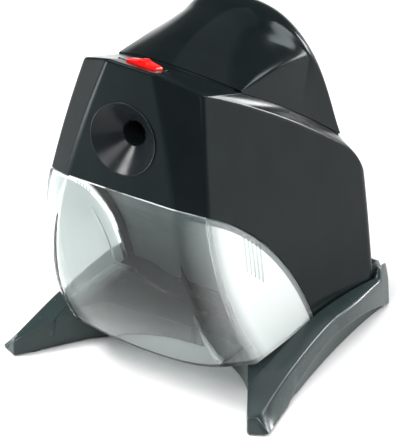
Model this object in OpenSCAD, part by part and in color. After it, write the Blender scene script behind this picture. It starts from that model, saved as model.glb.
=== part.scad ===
// Desktop electric pencil sharpener with a pull-out clear shavings tray.
// Frame: +Z up, front towards -Y, origin on the floor under the middle of the whole object.

/* [Body] */
// Width of the body at its foot
body_w = 88.8; // [86:0.2:91]
// Height of the front panel's top edge above the floor
body_top = 146; // [144:0.5:148]
// Distance of the panel's nose in front of the origin
nose_reach = 60.9; // [59:0.1:61]
// Distance of the body's rear wall behind the origin
body_rear = 54; // [53:0.5:54.5]
// Backward lean of the front panel, and slope of the pencil's way in
lean = 8; // [7:0.5:9]
// Wall thickness of the housing shells
wall = 2.2; // [1.8:0.1:2.6]

/* [Tray] */
// Wall thickness of the clear tray
tray_wall = 1.8; // [1.5:0.1:2.2]
// Gap between the tray and the housing along the parting arc
tray_gap = 0.4; // [0.3:0.1:0.8]
// Underside of the tray at its middle
tray_low = 8.6; // [8.5:0.1:9]

/* [Base] */
// Height of the base above the floor, at the top of its arched flange
base_h = 19.2; // [18.5:0.1:20]
// Thickness of the rubber pads that show below the base
pad_gap = 0.8; // [0.5:0.1:1]

/* [Pencil feed] */
// Radius of the pencil hole
hole_r = 5; // [4.6:0.1:5.2]
// Outer radius of the funnel's flange
funnel_r = 14.8; // [14:0.2:15.4]
// Height of the funnel's centre
funnel_z = 116; // [115:0.5:117]
// Gear module
gear_m = 0.8; // [0.8:0.8:0.8]

/* [Switch] */
// Length of the red rocker across the body
rocker_l = 13.6; // [13:0.2:14.4]
// Width of the red rocker
rocker_w = 5.6; // [5.4:0.1:6]

/* [Hidden] */
$fn = 48;
eps = 0.01;

body_half = body_w / 2;
body_foot = 14;            // height where the body's side walls start
body_seat = 12.6;          // the ledge of the base that the housing stands on
bend_z = 84;               // below this the front curves back under the tray
rim_inset = 4.7;           // height of the sloping band around the motor cover
cover_x = 28.1;            // half width of the motor cover at its creases

// Parting arc between housing and tray, in the side view
arc_y = -120.8;
arc_z = -32.5;
arc_r = 140.9;

// Half width of the side walls at a height
function side_x(z) = body_half - 0.055 * (z - body_foot) - 0.00068 * pow(z - body_foot, 2);
// Half width of the flat front panel at a height
function panel_x(z) = 33.9 - 0.03 * (z - 17) - 0.00119 * pow(z - 17, 2);
// Y of the front panel at a height
function panel_y(z) = -nose_reach + (z > bend_z ? (z - bend_z) * tan(lean)
    : 0.00089 * pow(bend_z - z, 2.4));
// How far the outer edges of the two turned facets lie behind the panel
function facet_depth(z) = z > bend_z ? 7.6 + 3.4 * pow((z - bend_z) / 53, 2)
    : min(9.4, 7.6 + 0.05 * (bend_z - z));
function facet_y(z) = panel_y(z) + facet_depth(z);
// Height of the shoulder edge along the sides
function shoulder_z(y) = body_top - 9.1 - 0.56 * (y + 43) - 0.0015 * pow(y + 43, 2);
// The same edge on the walls, which rounds down over the rear corners
function edge_z(y) = shoulder_z(y) - 0.055 * pow(max(0, y - 42), 2);
// Height of the parting arc at a Y, and its Y at a height
function part_z(y) = arc_z + sqrt(pow(arc_r, 2) - pow(y - arc_y, 2));
function part_y(z) = arc_y + sqrt(pow(arc_r, 2) - pow(z - arc_z, 2));
// Front line of the motor cover across the body
function cover_front(x) = [x, -28.4 + 10.4 * pow(x / cover_x, 2), body_top - 10.6 - 8.7 * pow(x / cover_x, 2)];
// Foot line of the motor cover along the sides
function cover_foot(y) = [cover_x + 0.045 * (y + 18), y, shoulder_z(y) + rim_inset];
cover_rear = 48.5;
cover_rear_bulge = 2.2;

function lerp(a, b, t) = a + (b - a) * t;
function unit(v) = v / norm(v);
function bezier(p, q, r, t) = (1 - t) * (1 - t) * p + 2 * t * (1 - t) * q + t * t * r;

// ---- Thin shells from a grid of surface points -------------------------------------------

// Facing of one grid cell
function cell_normal(g, i, j) = let (n = cross(g[i + 1][j + 1] - g[i][j], g[i + 1][j] - g[i][j + 1]))
    norm(n) < 1e-6 ? [0, 0, 0] : unit(n);

// Inset point of a grid node, moved so that the walls of all the cells around it keep their thickness
function inset_point(g, i, j, t, closed) =
    let (rows = len(g) - 1, cols = len(g[0]) - 1,
        cells = [for (a = [i - 1, i]) for (b = [j - 1, j])
            let (bb = closed ? (b + cols) % cols : b)
            if (a >= 0 && a < rows && bb >= 0 && bb < cols) cell_normal(g, a, bb)],
        total = [for (k = [0:2]) let (s = [for (c = cells) c[k]]) s * [for (c = cells) 1]],
        mean = unit(total),
        spread = [for (c = cells) if (norm(c) > 0.5) mean * c],
        reach = spread * [for (c = spread) 1] / len(spread))
    g[i][j] - mean * t / max(0.62, reach);

// Shell of thickness t behind the grid, open at its edges; closed grids repeat their first column
module skin(g, t, closed = false) {
    rows = len(g);
    cols = closed ? len(g[0]) - 1 : len(g[0]);
    outer = [for (i = [0:rows - 1]) for (j = [0:cols - 1]) g[i][j]];
    inner = [for (i = [0:rows - 1]) for (j = [0:cols - 1]) inset_point(g, i, j, t, closed)];
    base = rows * cols;
    last = closed ? cols - 1 : cols - 2;
    function at(i, j) = i * cols + j % cols;
    function quad(a, b, c, d) = [[a, b, c], [a, c, d]];
    faces = concat(
        [for (i = [0:rows - 2]) for (j = [0:last])
            each quad(at(i, j), at(i + 1, j), at(i + 1, j + 1), at(i, j + 1))],
        [for (i = [0:rows - 2]) for (j = [0:last])
            each quad(base + at(i, j), base + at(i, j + 1), base + at(i + 1, j + 1), base + at(i + 1, j))],
        [for (j = [0:last]) each quad(at(0, j), at(0, j + 1), base + at(0, j + 1), base + at(0, j))],
        [for (j = [0:last]) let (i = rows - 1)
            each quad(at(i, j), base + at(i, j), base + at(i, j + 1), at(i, j + 1))],
        closed ? [] : [for (i = [0:rows - 2])
            each quad(at(i, 0), base + at(i, 0), base + at(i + 1, 0), at(i + 1, 0))],
        closed ? [] : [for (i = [0:rows - 2]) let (j = cols - 1)
            each quad(at(i, j), at(i + 1, j), base + at(i + 1, j), base + at(i, j))]);
    polyhedron(points = concat(outer, inner), faces = faces, convexity = 8);
}

// Solid between stacked closed outlines that all have the same number of points
module stack(levels) {
    n = len(levels[0]);
    m = len(levels);
    points = [for (level = levels) each level];
    sides = [for (k = [0:m - 2]) for (i = [0:n - 1]) let (a = k * n + i, b = k * n + (i + 1) % n) each [
        [a, b + n, b], [a, a + n, b + n]]];
    caps = [[for (i = [0:n - 1]) i], [for (i = [n - 1:-1:0]) (m - 1) * n + i]];
    polyhedron(points = points, faces = concat(sides, caps), convexity = 8);
}

// Round tube along a list of points
module tube(path, r, sides = 8) {
    n = len(path);
    rings = [for (k = [0:n - 1])
        let (d = unit(path[min(k + 1, n - 1)] - path[max(k - 1, 0)]),
            u = unit(cross(d, abs(d[2]) > 0.9 ? [1, 0, 0] : [0, 0, 1])), v = cross(d, u))
        [for (s = [0:sides - 1]) path[k] + r * (cos(360 * s / sides) * u + sin(360 * s / sides) * v)]];
    stack(rings);
}

// ---- Gears and fasteners -----------------------------------------------------------------

function involute(a) = tan(a) - a * PI / 180;
// Half of a tooth's angle at radius r
function tooth_half(teeth, r, slack) = let (rp = teeth * gear_m / 2, rb = rp * cos(20), rr = max(r, rb))
    90 / teeth + (involute(20) - involute(acos(rb / rr)) - slack / rp / 2) * 180 / PI;
// Outline of a spur gear with one tooth centred on +Y
module gear_outline(teeth, add, ded, slack) {
    rp = teeth * gear_m / 2;
    rb = rp * cos(20);
    foot = rp - ded * gear_m;
    tip = rp + add * gear_m;
    start = max(foot, rb);
    radii = concat(foot < rb ? [foot] : [], [for (k = [0:3]) lerp(start, tip, k / 3)]);
    n = len(radii);
    polygon([for (i = [0:teeth - 1]) let (c = 90 + 360 * i / teeth) each concat(
        [for (k = [0:n - 1]) let (h = tooth_half(teeth, radii[k], slack)) radii[k] * [cos(c - h), sin(c - h)]],
        [for (k = [n - 1:-1:0]) let (h = tooth_half(teeth, radii[k], slack)) radii[k] * [cos(c + h), sin(c + h)]])]);
}

// Pan-head screw pointing down, its head's underside at the origin
module screw(r, length, head_r, head_h) {
    difference() {
        union() {
            translate([0, 0, -length]) cylinder(r = r, h = length + eps, $fn = 24);
            cylinder(r = head_r, h = head_h, $fn = 24);
        }
        for (a = [0, 90]) rotate([0, 0, a]) translate([-head_r * 0.6, -0.3, head_h * 0.45])
            cube([head_r * 1.2, 0.6, head_h]);
    }
}

module rounded_plate(x, y0, y1, r, h) {
    linear_extrude(h) union() {
        translate([-x, y0 + r]) square([2 * x, y1 - y0 - 2 * r]);
        translate([-x + r, y0]) square([2 * (x - r), y1 - y0]);
        for (sx = [-1, 1]) for (y = [y0 + r, y1 - r]) translate([sx * (x - r), y]) circle(r = r);
    }
}

// ---- Body shells -------------------------------------------------------------------------

// Wall point of a station at a height; kinds are panel, facet, side and rear, s runs 0 to 1
function wall_point(kind, s, z) =
    kind == "panel" ? [s * panel_x(z), panel_y(z), z]
    : kind == "facet" ? [lerp(panel_x(z), side_x(z), s), lerp(panel_y(z), facet_y(z), s), z]
    : kind == "side" ? [side_x(z), lerp(facet_y(z), body_rear, s), z]
    : [side_x(z) * (1 - s), body_rear, z];

function settle_top(kind, s, z, n) = n == 0 ? z
    : settle_top(kind, s, edge_z(wall_point(kind, s, z)[1]), n - 1);
function wall_top(kind, s) = kind == "panel" ? body_top : kind == "facet" ? body_top - 9.1 * s
    : kind == "rear" ? edge_z(body_rear) : settle_top(kind, s, 110, 8);
function settle_low(kind, s, z, n) = n == 0 ? z
    : settle_low(kind, s, (z + max(body_seat, part_z(min(wall_point(kind, s, z)[1], 55)))) / 2, n - 1);
function wall_low(kind, s) = kind == "rear" ? body_seat + 0.2 : max(body_seat + 0.2, settle_low(kind, s, 60, 30));

front_half = side_x(body_top - 9.1);
// Where a station's line ends, on the motor cover's foot
function cover_edge(kind, s) =
    kind == "panel" ? cover_front(s * panel_x(body_top) * cover_x / front_half)
    : kind == "facet" ? cover_front(lerp(panel_x(body_top), front_half, s) * cover_x / front_half)
    : kind == "side" ? cover_foot(lerp(-18, cover_rear, s))
    : let (p = cover_foot(cover_rear)) [p[0] * (1 - s), cover_rear + cover_rear_bulge * (1 - pow(1 - s, 2)), p[2]];

// Direction in which the ledge under the motor cover steps in from the cover's foot
function ledge_way(kind, s) = kind == "panel" ? [0, 1, 0] : kind == "facet" ? unit([-0.7 * s, 1, 0])
    : kind == "side" ? unit([-1, lerp(1, -0.8, s), 0]) : unit([-0.9 * (1 - s), -1, 0]);
// Ledge point at a step from the foot; the front keeps to the band's slope, the sides drop under the cover
function ledge_point(kind, s, outer) = let (way = ledge_way(kind, s))
    kind == "panel" || (kind == "facet" && s < 0.9) ? (outer ? 0.6 : 1.15) * (way + [0, 0, 0.2])
    : kind == "facet" ? (outer ? 0.3 : 1.2) * way - [0, 0, 2.6]
    : let (drop = kind == "rear" ? 0.2 : max(0.2, 2.6 * (1 - s / 0.4)))
        (outer ? 0.3 : 3.4) * way - [0, 0, drop + (outer ? 0 : 0.9)];

stations = concat([for (s = [0, 0.5, 1]) ["panel", s]], [for (s = [0.33, 0.67, 1]) ["facet", s]],
    [for (k = [1:18]) ["side", k / 18]], [for (s = [0.25, 0.5, 0.75, 1]) ["rear", s]]);
wall_rows = 9;
band_rows = 3;
function station_line(st) =
    let (low = wall_low(st[0], st[1]), top = wall_top(st[0], st[1]), a = wall_point(st[0], st[1], top),
        b = cover_edge(st[0], st[1]))
    concat([for (k = [0:wall_rows]) wall_point(st[0], st[1], lerp(low, top, k / wall_rows))],
        [for (k = [1:band_rows]) lerp(a, b, k / band_rows)],
        [for (outer = [true, false]) b + ledge_point(st[0], st[1], outer)]);
function mirrored(line) = [for (p = line) [-p[0], p[1], p[2]]];
half_lines = [for (st = stations) station_line(st)];
loop_lines = concat(half_lines, [for (k = [len(half_lines) - 2:-1:1]) mirrored(half_lines[k])], [half_lines[0]]);
housing_grid = [for (i = [0:wall_rows + band_rows + 2]) [for (line = loop_lines) line[i]]];

// Frame of the pencil's way in: +Z along the feed from the panel's face, +Y down
module feed() {
    translate([0, panel_y(funnel_z), funnel_z]) rotate([-90 - lean, 0, 0]) children();
}

// Frame of the switch: on the top band, +Z out of it
switch_y = -41.7;
switch_tilt = 23;
module on_band() {
    translate([0, switch_y, body_top - 4.9]) rotate([-switch_tilt, 0, 0]) children();
}
bezel_l = 24;
bezel_w = 6;
// Frame around the rocker with a pointed flare at each end, grown by extra all round
module bezel_form(extra, h) {
    l = bezel_l + 2 * extra;
    w = bezel_w + 2 * extra;
    r = (pow(l / 2, 2) + pow(w / 2, 2)) / w;
    intersection() {
        translate([0, r - w / 2, 0]) cylinder(r = r, h = h, $fn = 96);
        translate([0, w / 2 - r, 0]) cylinder(r = r, h = h, $fn = 96);
    }
    translate([-rocker_l / 2 - 1.3 - extra, -rocker_w / 2 - 1.2 - extra, 0])
        cube([rocker_l + 2.6 + 2 * extra, rocker_w + 2.4 + 2 * extra, h]);
}

pillar_x = 20.5;
pillar_y = 14;
interlock = [24, 18.6, body_seat];   // corner point of the tray's safety switch, on its plunger's axis
jack_x = -22;
jack_z = 31;
foot_post = [[-37.6, 26], [37.6, 26], [-37.6, 46], [37.6, 46]];

module main_housing() {
    color("#22282a") difference() {
        union() {
            skin(housing_grid, wall, closed = true);
            feed() for (sx = [-1, 1]) {
                translate([sx * pillar_x, -pillar_y, 7]) cylinder(r = 3, h = 11);
                translate([sx * pillar_x, pillar_y, 1.6]) cylinder(r = 3, h = 16.4);
            }
            for (p = foot_post) translate([p[0], p[1], body_seat]) cylinder(r = 4.6, h = 14);
        }
        feed() translate([0, 0, -6]) cylinder(r = funnel_r - 0.7, h = 14, $fn = 72);
        feed() for (sx = [-1, 1]) for (sy = [-1, 1])
            translate([sx * pillar_x, sy * pillar_y, 10]) cylinder(r = 1.3, h = 9);
        for (p = foot_post) translate([p[0], p[1], body_seat - 1]) cylinder(r = 1.65, h = 9);
        on_band() translate([0, 0, -7]) bezel_form(0.15, 14);
        translate([jack_x, body_rear - 6, jack_z]) rotate([-90, 0, 0]) cylinder(r = 5.1, h = 12);
    }
}

// Motor cover: sections from its front line, back over the ridge, and down its rear face
function crease(v) = v < 0.6
    ? let (p = bezier([-18, body_top - 19.3], [12, body_top - 18.6], [31, body_top - 25.5], v / 0.6)) [cover_x, p[0], p[1]]
    : let (t = (v - 0.6) / 0.4, e = cover_foot(cover_rear),
        p = bezier([31, body_top - 25.5], [36.5, body_top - 27.5], [cover_rear, e[2]], t))
        [lerp(cover_x, e[0], t), p[0], p[1]];
function ridge(v) = v < 0.6 ? bezier([-28.4, body_top - 10.6], [-5, body_top - 3.5], [14, body_top - 3], v / 0.6)
    : bezier([14, body_top - 3], [46, body_top - 2.5], [cover_rear + cover_rear_bulge, cover_foot(cover_rear)[2]],
        (v - 0.6) / 0.4);
// How full the top is between ridge and crease: leaner over the front half, fuller over the rear half
function cover_power(v) = v < 0.5 ? 2 - 0.3 * sin(360 * v) : 2 - 0.9 * sin(360 * v);
function cover_section(v) =
    let (c = crease(v), r = ridge(v), f = cover_foot(lerp(-18, cover_rear, v)),
        half = concat([for (k = [0:1]) lerp(f, c, k / 2)],
            [for (k = [0:6]) let (t = 1 - k / 6, w = 1 - pow(t, cover_power(v)))
                [c[0] * t, lerp(c[1], r[0], w), lerp(c[2], r[1], w)]]))
    concat([for (p = half) [-p[0], p[1], p[2]]], [for (k = [len(half) - 2:-1:0]) half[k]]);

module motor_cover() {
    color("#22282a") {
        translate([0, 0, 0.35]) skin([for (k = [0:18]) cover_section(lerp(0.02, 0.995, k / 18))], wall);
        // snap hooks that reach down past the ledge
        for (sx = [-1, 1]) for (y = [8, 30]) let (f = cover_foot(y)) {
            translate([sx * (f[0] - 5.1) - 0.6, y - 2.5, f[2] - 6]) cube([1.2, 5, 11]);
            translate([sx * (f[0] - 3.6) - 2, y - 2.5, f[2] + 3]) cube([4, 5, 2]);
        }
    }
}

// ---- Shavings tray -----------------------------------------------------------------------

belly_r = 67;
belly_x = 33.6;
belly_rise = 0.064;
belly_step = belly_r - sqrt(pow(belly_r, 2) - pow(belly_x, 2));
// Underside of the tray across the body
function belly_z(x) = tray_low + (abs(x) < belly_x ? belly_r - sqrt(pow(belly_r, 2) - x * x)
    : belly_step + belly_rise * (abs(x) - belly_x));
back_offset = 10;        // the tray's back wall lies this far in front of the parting arc
back_top = 56;           // and ends at this height
side_end = 9;            // Y where the tray's sides end
grip_y = [-31.7, -29.2, -26.8, -24.4, -22];

function settle_belly(kind, s, z, n) = n == 0 ? z
    : settle_belly(kind, s, belly_z(min(body_half, wall_point(kind, s, z)[0])), n - 1);
function tray_foot(kind, s) = settle_belly(kind, s, 14, 12);
function settle_arc(kind, s, z, n) = n == 0 ? z
    : settle_arc(kind, s, (z + part_z(wall_point(kind, s, z)[1] + tray_gap) - tray_gap) / 2, n - 1);
function tray_top(kind, s) = settle_arc(kind, s, 80, 30);
tray_steps = [0, 0.04, 0.1, 0.17, 0.25, 0.35, 0.46, 0.58, 0.7, 0.82, 0.92, 1];
// Line of the tray's outer face from its underside up to the parting arc
function tray_front_line(kind, s) = let (low = tray_foot(kind, s), top = tray_top(kind, s))
    [for (f = tray_steps) wall_point(kind, s, lerp(low, top, f))];
function tray_side_line(s) =
    let (edge = tray_front_line("facet", 1), low = edge[0][2],
        top = part_z(lerp(edge[len(edge) - 1][1], side_end, s) + tray_gap) - tray_gap)
    [for (k = [0:len(tray_steps) - 1]) let (z = lerp(low, top, tray_steps[k]))
        [side_x(z), lerp(edge[k][1], side_end, s), z]];
tray_front = concat([for (s = [0, 0.5, 1]) tray_front_line("panel", s)],
    [for (s = [0.33, 0.67, 1]) tray_front_line("facet", s)]);
tray_half = concat(tray_front, [for (k = [1:12]) tray_side_line(k / 12)]);
tray_lines = concat([for (k = [len(tray_half) - 1:-1:1]) mirrored(tray_half[k])], tray_half);
front_feet = concat([for (k = [len(tray_front) - 1:-1:1]) mirrored(tray_front[k])[0]],
    [for (line = tray_front) line[0]]);
function back_y(z) = part_y(z) - back_offset + tray_wall;
// Underside, from the back wall to just inside the front's lower edge
function belly_point(p, t) = let (x = p[0] * (1 - 0.35 / body_half), z = belly_z(x))
    [x, lerp(back_y(z) - 0.4, p[1] + 0.35, t), z];

module shavings_tray() {
    color([0.75, 0.82, 0.82, 0.4]) union() {
        skin([for (i = [0:len(tray_steps) - 1]) [for (line = tray_lines) line[i]]], tray_wall);
        skin([for (i = [0:4]) [for (p = front_feet) belly_point(p, i / 4)]], tray_wall);
        skin([for (i = [0:6]) [for (t = [1:-0.125:-1])
            let (z = lerp(belly_z(t * 43) + 1.1, back_top, i / 6)) [t * (side_x(z) - 0.5), back_y(z), z]]], tray_wall);
        translate([interlock[0] - 2, 1.3, interlock[2] + 3]) cube([4, 9.4, 5]);
        for (sx = [-1, 1]) for (y = grip_y) let (top = part_z(y) - 3, low = top - 15)
            translate([sx * (side_x(low) - 0.6), y, low]) rotate([0, -sx * atan(0.11 + 0.0008 * (top - 14)), 0])
                cylinder(r = 0.7, h = 15, $fn = 12);
    }
}

module tray_stop() {
    color("#1c2021") translate([0, 7.6, tray_low - 0.5]) {
        translate([-9, -1.6, 0]) cube([18, 3.2, 4.4]);
        for (sx = [-1, 1]) translate([sx * 9, 0, 0]) cylinder(r = 1.6, h = 4.4);
        translate([-9, 0, 4.4]) rotate([0, 90, 0]) cylinder(r = 1.6, h = 18);
        for (sx = [-1, 1]) translate([sx * 9, 0, 4.4]) sphere(r = 1.6);
    }
}

// Curved wall behind the tray that closes the mechanism off and lets the shavings down
chute_gap = 2.6;
chute_top_y = -46;
chute_foot = asin((body_seat - arc_z) / (arc_r + chute_gap));
chute_head = acos((chute_top_y - arc_y) / (arc_r + chute_gap));
function chute_point(a, t) = let (r = arc_r + chute_gap, z = arc_z + r * sin(a))
    [t * (side_x(z) - wall - 0.5), arc_y + r * cos(a), z];
module shavings_chute() {
    color("#30383a") difference() {
        skin([for (k = [0:16]) [for (t = [1:-0.5:-1]) chute_point(lerp(chute_head, chute_foot, k / 16), t)]], 2);
        translate([-17, -40, 60]) cube([34, 28, 40]);
        translate([interlock[0], 0, interlock[2] + 6]) rotate([-90, 0, 0]) cylinder(r = 2.2, h = 30);
    }
}

// ---- Base --------------------------------------------------------------------------------

base_rear = 60.9;
bay_r = 47;                // radius of the concave front edge between the feet
bay_y = -55;
foot_in = [53.6, -52.2];
foot_out = [61.7, -48.6];
function base_side(y) = 46.2 + 15.5 * pow(max(0, 55 - y) / 103.6, 1.7);
function crease_side(y) = y > 15 ? 46.2 + 6.1 * sin(90 * (base_rear - y) / 45.9) : 52.3 + 4.6 * (15 - y) / 63;
function flange_z(y) = base_h - 12.2 * pow(max(0, 12 - y) / 60, 1.6) - 4.8 * pow(max(0, y - 12) / 43, 1.8);
function arch_z(y) = max(0.5, 12 - 11.5 * pow(abs(y - 16) / 44, 2));

bay_points = [for (a = [-59:59 / 12:59.01]) [bay_r * sin(a), bay_y + bay_r * cos(a)]];
module base_outline(side) {
    ys = [for (k = [0:14]) lerp(foot_out[1], base_rear - 3, k / 14)];
    right = concat([foot_in], [for (y = ys) [side == 0 ? base_side(y) : max(crease_side(y), 0), y]],
        [[base_side(base_rear) - 3, base_rear]]);
    left = [for (k = [len(right) - 1:-1:0]) [-right[k][0], right[k][1]]];
    polygon(concat(right, left, bay_points));
}
module side_profile(top) {
    translate([-70, 0, 0]) rotate([90, 0, 90]) linear_extrude(140) polygon(top);
}
module base() {
    color("#374343") difference() {
        union() {
            base_hull();
            for (p = plate_posts) translate([p[0], p[1], pad_gap + 2.2]) cylinder(r = 3, h = 8);
            for (sx = [-1, 1]) for (y = [4, 20]) translate([sx * 24, board_y + y, body_seat - 1])
                cylinder(r = 2.6, h = board_z - body_seat + 1);
        }
        for (p = foot_post) translate([p[0], p[1], 9]) cylinder(r = 1.7, h = 6);
        for (p = plate_posts) translate([p[0], p[1], pad_gap + 1]) cylinder(r = 1.45, h = 6.6);
        translate([-11, 5.8, tray_low - 0.5]) cube([22, 3.6, 5]);
    }
}
module base_hull() {
    ys = [for (k = [0:22]) lerp(-53, 55, k / 22)];
    difference() {
        union() {
            intersection() {
                translate([0, 0, pad_gap]) linear_extrude(24) base_outline(0);
                side_profile(concat([for (y = ys) [y, flange_z(y)]], [[55, 20], [58, 20], [base_rear + 1, 16],
                    [base_rear + 1, 0], [-53, 0]]));
            }
            intersection() {
                translate([0, 0, pad_gap]) linear_extrude(24) base_outline(1);
                side_profile(concat([for (y = [for (k = [0:22]) lerp(-44, 55, k / 22)]) [y, flange_z(y)]],
                    [for (k = [22:-1:0]) let (y = lerp(-44, 55, k / 22)) [y, min(arch_z(y), flange_z(y) - 0.6)]]));
            }
        }
        // trough that the tray slides over
        translate([0, 14.5, 0]) rotate([90, 0, 0]) linear_extrude(80) polygon(concat(
            [for (k = [-16:16]) let (x = body_half * k / 16) [x, belly_z(x) - 0.5]],
            [[body_half + 0.4, 40], [-body_half - 0.4, 40]]));
        // seat of the housing
        translate([-body_half - 0.3, 6, body_seat]) cube([2 * body_half + 0.6, body_rear - 5.7, 20]);
        // hollow from below
        intersection() {
            translate([0, 0, -1]) linear_extrude(20) polygon([[-41, -8], [-41, 52], [41, 52], [41, -8], [26, -5], [-26, -5]]);
            side_profile([[-10, 0], [-10, 5.6], [15, 5.6], [17, 10.2], [55, 10.2], [55, 0]]);
        }
    }
}

pad_points = [[-52.5, -42], [52.5, -42], [-40, 56.4], [40, 56.4]];
plate_posts = [[-37, -3], [37, -3], [-30, 47], [30, 47]];
module base_plate() {
    color("#2a3030") translate([0, 0, pad_gap + 0.2]) difference() {
        linear_extrude(2) polygon([[-40.6, -7.4], [-40.6, 51.6], [40.6, 51.6], [40.6, -7.4], [26, -4.6], [-26, -4.6]]);
        for (p = plate_posts) translate([p[0], p[1], -1]) {
            cylinder(r = 1.5, h = 4);
            cylinder(r = 2.7, h = 1.9);
        }
        for (k = [-3:3]) translate([k * 7 - 1, 14, -1]) cube([2, 20, 4]);
    }
}
module rubber_feet() {
    color("#151515") for (p = pad_points) translate([p[0], p[1], 0]) cylinder(r = 4, h = pad_gap, $fn = 36);
}
module base_screws() {
    color("silver") for (p = plate_posts)
        translate([p[0], p[1], pad_gap + 1.1]) rotate([180, 0, 0]) screw(1.4, 6, 2.5, 0.9);
}
module housing_screws() {
    color("silver") for (p = foot_post) translate([p[0], p[1], 10.2]) rotate([180, 0, 0]) screw(1.6, 9, 3, 1.8);
}

// ---- Pencil guide and switch -------------------------------------------------------------

module pencil_guide() {
    color("#1b2022") feed() rotate_extrude($fn = 72) polygon([[hole_r, 8], [funnel_r - 0.5, -0.3],
        [funnel_r - 0.25, -0.45], [funnel_r, -0.3], [funnel_r, 0], [funnel_r - 0.8, 0], [funnel_r - 0.8, 1.5],
        [hole_r + 1.8, 9.6], [hole_r + 1.8, 18], [hole_r, 18]]);
}

rocker_pivot = -2.4;
rocker_pin = 1.2;
module switch_bezel() {
    color("#15191a") on_band() difference() {
        translate([0, 0, -4]) bezel_form(0, 4.2);
        translate([-rocker_l / 2 - 0.5, -rocker_w / 2 - 0.4, -8]) cube([rocker_l + 1, rocker_w + 0.8, 12]);
        translate([0, 8, rocker_pivot]) rotate([90, 0, 0]) cylinder(r = rocker_pin + 0.05, h = 16);
    }
}
module power_rocker() {
    color("red") on_band() {
        intersection() {
            translate([0, rocker_w / 2, -3]) rotate([90, 0, 0]) linear_extrude(rocker_w)
                polygon([[-rocker_l / 2, 1.4], [-rocker_l / 2, 4.4], [-1.6, 5.2], [0, 5.9], [1.6, 5.2],
                    [rocker_l / 2, 4.4], [rocker_l / 2, 1.4], [1.6, -0.4], [-1.6, -0.4]]);
            translate([0, 0, -5]) linear_extrude(12) union() {
                square([rocker_l - 2, rocker_w], center = true);
                square([rocker_l, rocker_w - 2], center = true);
                for (sx = [-1, 1]) for (sy = [-1, 1])
                    translate([sx * (rocker_l / 2 - 1), sy * (rocker_w / 2 - 1)]) circle(r = 1);
            }
        }
        translate([0, rocker_w / 2 + 0.9, rocker_pivot]) rotate([90, 0, 0]) cylinder(r = rocker_pin, h = rocker_w + 1.8);
    }
}
module switch_body() {
    color("#111414") on_band() difference() {
        translate([-rocker_l / 2 - 1, -rocker_w / 2 - 0.9, -13]) cube([rocker_l + 2, rocker_w + 1.8, 9]);
        translate([-rocker_l / 2 - 0.5, -rocker_w / 2 - 0.4, -7]) cube([rocker_l + 1, rocker_w + 0.8, 12]);
    }
}
module switch_terminals() {
    color("#c8a050") on_band() for (x = [-5, 0, 5]) translate([x - 0.4, -2, -16.5]) cube([0.8, 4, 3.5]);
}

// ---- Cutter head, in the feed frame ------------------------------------------------------

ring_teeth = 42;
planet_teeth = 14;
carrier_teeth = 38;
idler_pinion_teeth = 12;
idler_teeth = 40;
motor_teeth = 10;
idler_y = (motor_teeth + idler_teeth) * gear_m / 2;
planet_y = (ring_teeth - planet_teeth) * gear_m / 2;
planet_z = 23.2;
cutter_tilt = 10;
disc_r = 16;
cup_r = 18.6;
plate_x = 23.4;

module cutter_axis() {
    feed() translate([0, planet_y, planet_z]) rotate([cutter_tilt, 0, 0]) children();
}
module pillar_places() {
    for (sx = [-1, 1]) for (sy = [-1, 1]) translate([sx * pillar_x, sy * pillar_y, 0]) children();
}

module front_plate() {
    color("#9aa0a2") feed() difference() {
        union() {
            translate([0, 0, 18]) rounded_plate(plate_x, -17, 17, 4, 3);
            translate([0, 0, 18]) cylinder(r = cup_r + 1.6, h = 12, $fn = 72);
        }
        translate([0, 0, 17]) cylinder(r = 9, h = 20);
        translate([0, 0, 21]) cylinder(r = cup_r, h = 20, $fn = 72);
        translate([0, 0, 17]) pillar_places() cylinder(r = 1.6, h = 5);
    }
}
module ring_gear() {
    color("#b8a678") feed() translate([0, 0, 21]) difference() {
        cylinder(r = cup_r, h = 4.4, $fn = 72);
        translate([0, 0, -1]) linear_extrude(8) gear_outline(ring_teeth, 1.15, 0.65, -0.3);
    }
}
module front_bush() {
    color("#b9803c") feed() translate([0, 0, 25.6]) difference() {
        cylinder(r = cup_r, h = 4.4, $fn = 72);
        translate([0, 0, -1]) cylinder(r = disc_r + 0.06, h = 8, $fn = 72);
    }
}
module cutter_carrier() {
    color("#7d8486") difference() {
        union() {
            feed() translate([0, 0, 25.6]) cylinder(r = disc_r, h = 3.6, $fn = 72);
            feed() translate([0, 0, 50]) cylinder(r = disc_r, h = 4, $fn = 72);
            feed() for (sx = [-1, 1]) translate([sx * 11.2 - 2.2, -8, 29]) cube([4.4, 16, 21.2]);
            feed() translate([0, 0, 53]) cylinder(r = 3.5, h = 9.6);
        }
        feed() translate([0, 0, 20]) cylinder(r = hole_r + 0.3, h = 12);
        cutter_axis() translate([0, 0, -2]) cylinder(r = 2.87, h = 10);
        cutter_axis() translate([0, 0, 20]) cylinder(r = 1.5, h = 20);
    }
}
module helical_cutter() {
    color("#c3c8ca") cutter_axis() difference() {
        union() {
            translate([0, 0, 8]) linear_extrude(height = 17.4, twist = 70, slices = 10) polygon(
                [for (k = [0:35]) (k % 2 == 0 ? 6.2 : 5.5) * [cos(10 * k), sin(10 * k)]]);
            translate([0, 0, -1]) cylinder(r = 2.8, h = 9.2);
        }
        translate([0, 0, -3]) cylinder(r = 1.55, h = 40);
    }
}
module cutter_pin() {
    color("silver") cutter_axis() translate([0, 0, -1]) cylinder(r = 1.5, h = 31.5);
}
module cutter_pinion() {
    color("#d8c690") cutter_axis() difference() {
        translate([0, 0, -1]) linear_extrude(2.1) gear_outline(planet_teeth, 0.6, 1.1, 0.3);
        translate([0, 0, -3]) cylinder(r = 2.8, h = 10);
    }
}
module carrier_gear() {
    color("#e6e2d2") feed() translate([0, 0, 54.4]) difference() {
        linear_extrude(4) gear_outline(carrier_teeth, 0.7, 1.1, 0.16);
        translate([0, 0, -1]) cylinder(r = 3.5, h = 8);
    }
}

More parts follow.
